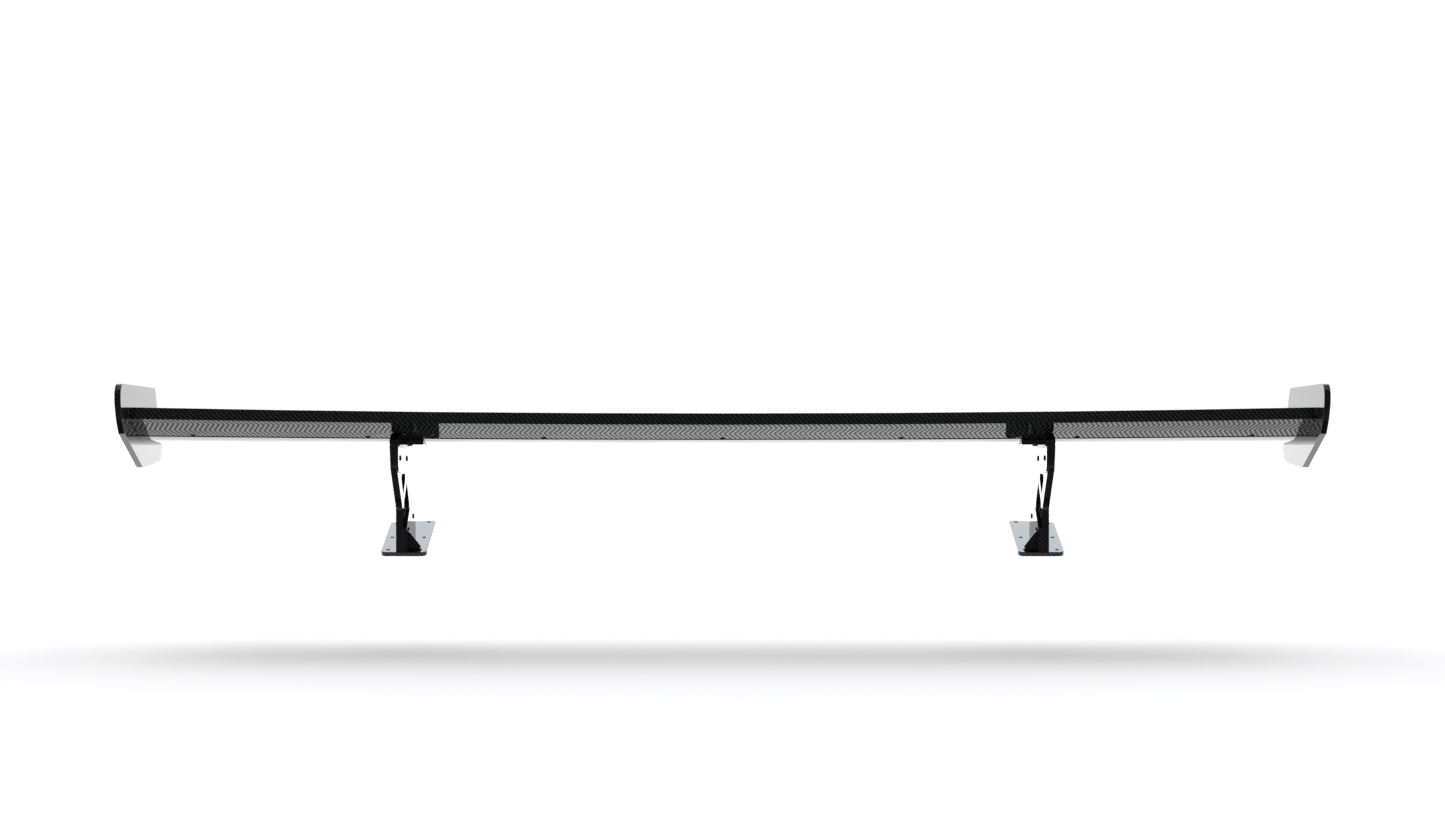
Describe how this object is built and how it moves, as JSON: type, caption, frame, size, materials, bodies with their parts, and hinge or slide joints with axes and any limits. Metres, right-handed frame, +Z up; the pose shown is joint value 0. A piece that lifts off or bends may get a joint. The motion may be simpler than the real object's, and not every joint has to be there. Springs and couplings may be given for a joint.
{
  "type": "racing rear wing",
  "caption": "Carbon rear wing for a car: a long cambered blade with a gurney flap between two end plates, pitched on two cut-out uprights with drilled foot plates.",
  "frame": {"origin": "midway between the two feet, on the undersides of the foot plates at their middle row of holes", "axes": "+X is the car's right and runs along the blade, +Y is forward, +Z is up"},
  "size_m": [1.5992, 0.2715, 0.2345],
  "materials": {
    "carbon_gloss": "2x2 twill carbon fibre under clear lacquer",
    "carbon_plate": "twill carbon plate, clear lacquer, cut edges",
    "carbon_inner": "bare carbon laminate, not polished",
    "black_steel": "black oxide steel screws",
    "alloy_insert": "machined aluminium inserts",
    "brass_bush": "plain turned brass"
  },
  "bodies": {
    "feet": {"angle_bolt_L": "black_steel", "angle_bolt_R": "black_steel", "base_gusset_L": "carbon_plate", "base_gusset_R": "carbon_plate", "base_plate_L": "carbon_plate", "base_plate_R": "carbon_plate", "base_rib_L": "carbon_plate", "base_rib_R": "carbon_plate", "pivot_bolt_L": "black_steel", "pivot_bolt_R": "black_steel", "rib_bolts_L": "black_steel", "rib_bolts_R": "black_steel", "upright_L": "carbon_plate", "upright_R": "carbon_plate", "upright_inserts_L": "alloy_insert", "upright_inserts_R": "alloy_insert"},
    "blade": {"blade_lower_skin": "carbon_gloss", "blade_upper_skin": "carbon_gloss", "bracket_L": "carbon_plate", "bracket_R": "carbon_plate", "bracket_bolts_L": "black_steel", "bracket_bolts_R": "black_steel", "bracket_inserts_L": "alloy_insert", "bracket_inserts_R": "alloy_insert", "end_plate_L": "carbon_plate", "end_plate_R": "carbon_plate", "end_plate_inserts_L": "alloy_insert", "end_plate_inserts_R": "alloy_insert", "end_plate_screws_L": "black_steel", "end_plate_screws_R": "black_steel", "end_rib_L": "carbon_inner", "end_rib_R": "carbon_inner", "front_spar": "carbon_inner", "gurney_flap": "carbon_gloss", "mount_rib_L": "carbon_inner", "mount_rib_R": "carbon_inner", "pivot_bush_L": "brass_bush", "pivot_bush_R": "brass_bush", "rear_spar": "carbon_inner", "seam_strip": "carbon_inner", "skin_screws": "black_steel"}
  },
  "joints": [
    {"name": "blade_pitch", "type": "hinge", "parent": "feet", "child": "blade", "pos_m": [0, -0.113, 0.1175], "axis": [-1, 0, 0], "range_deg": [0, 4.5]}
  ]
}
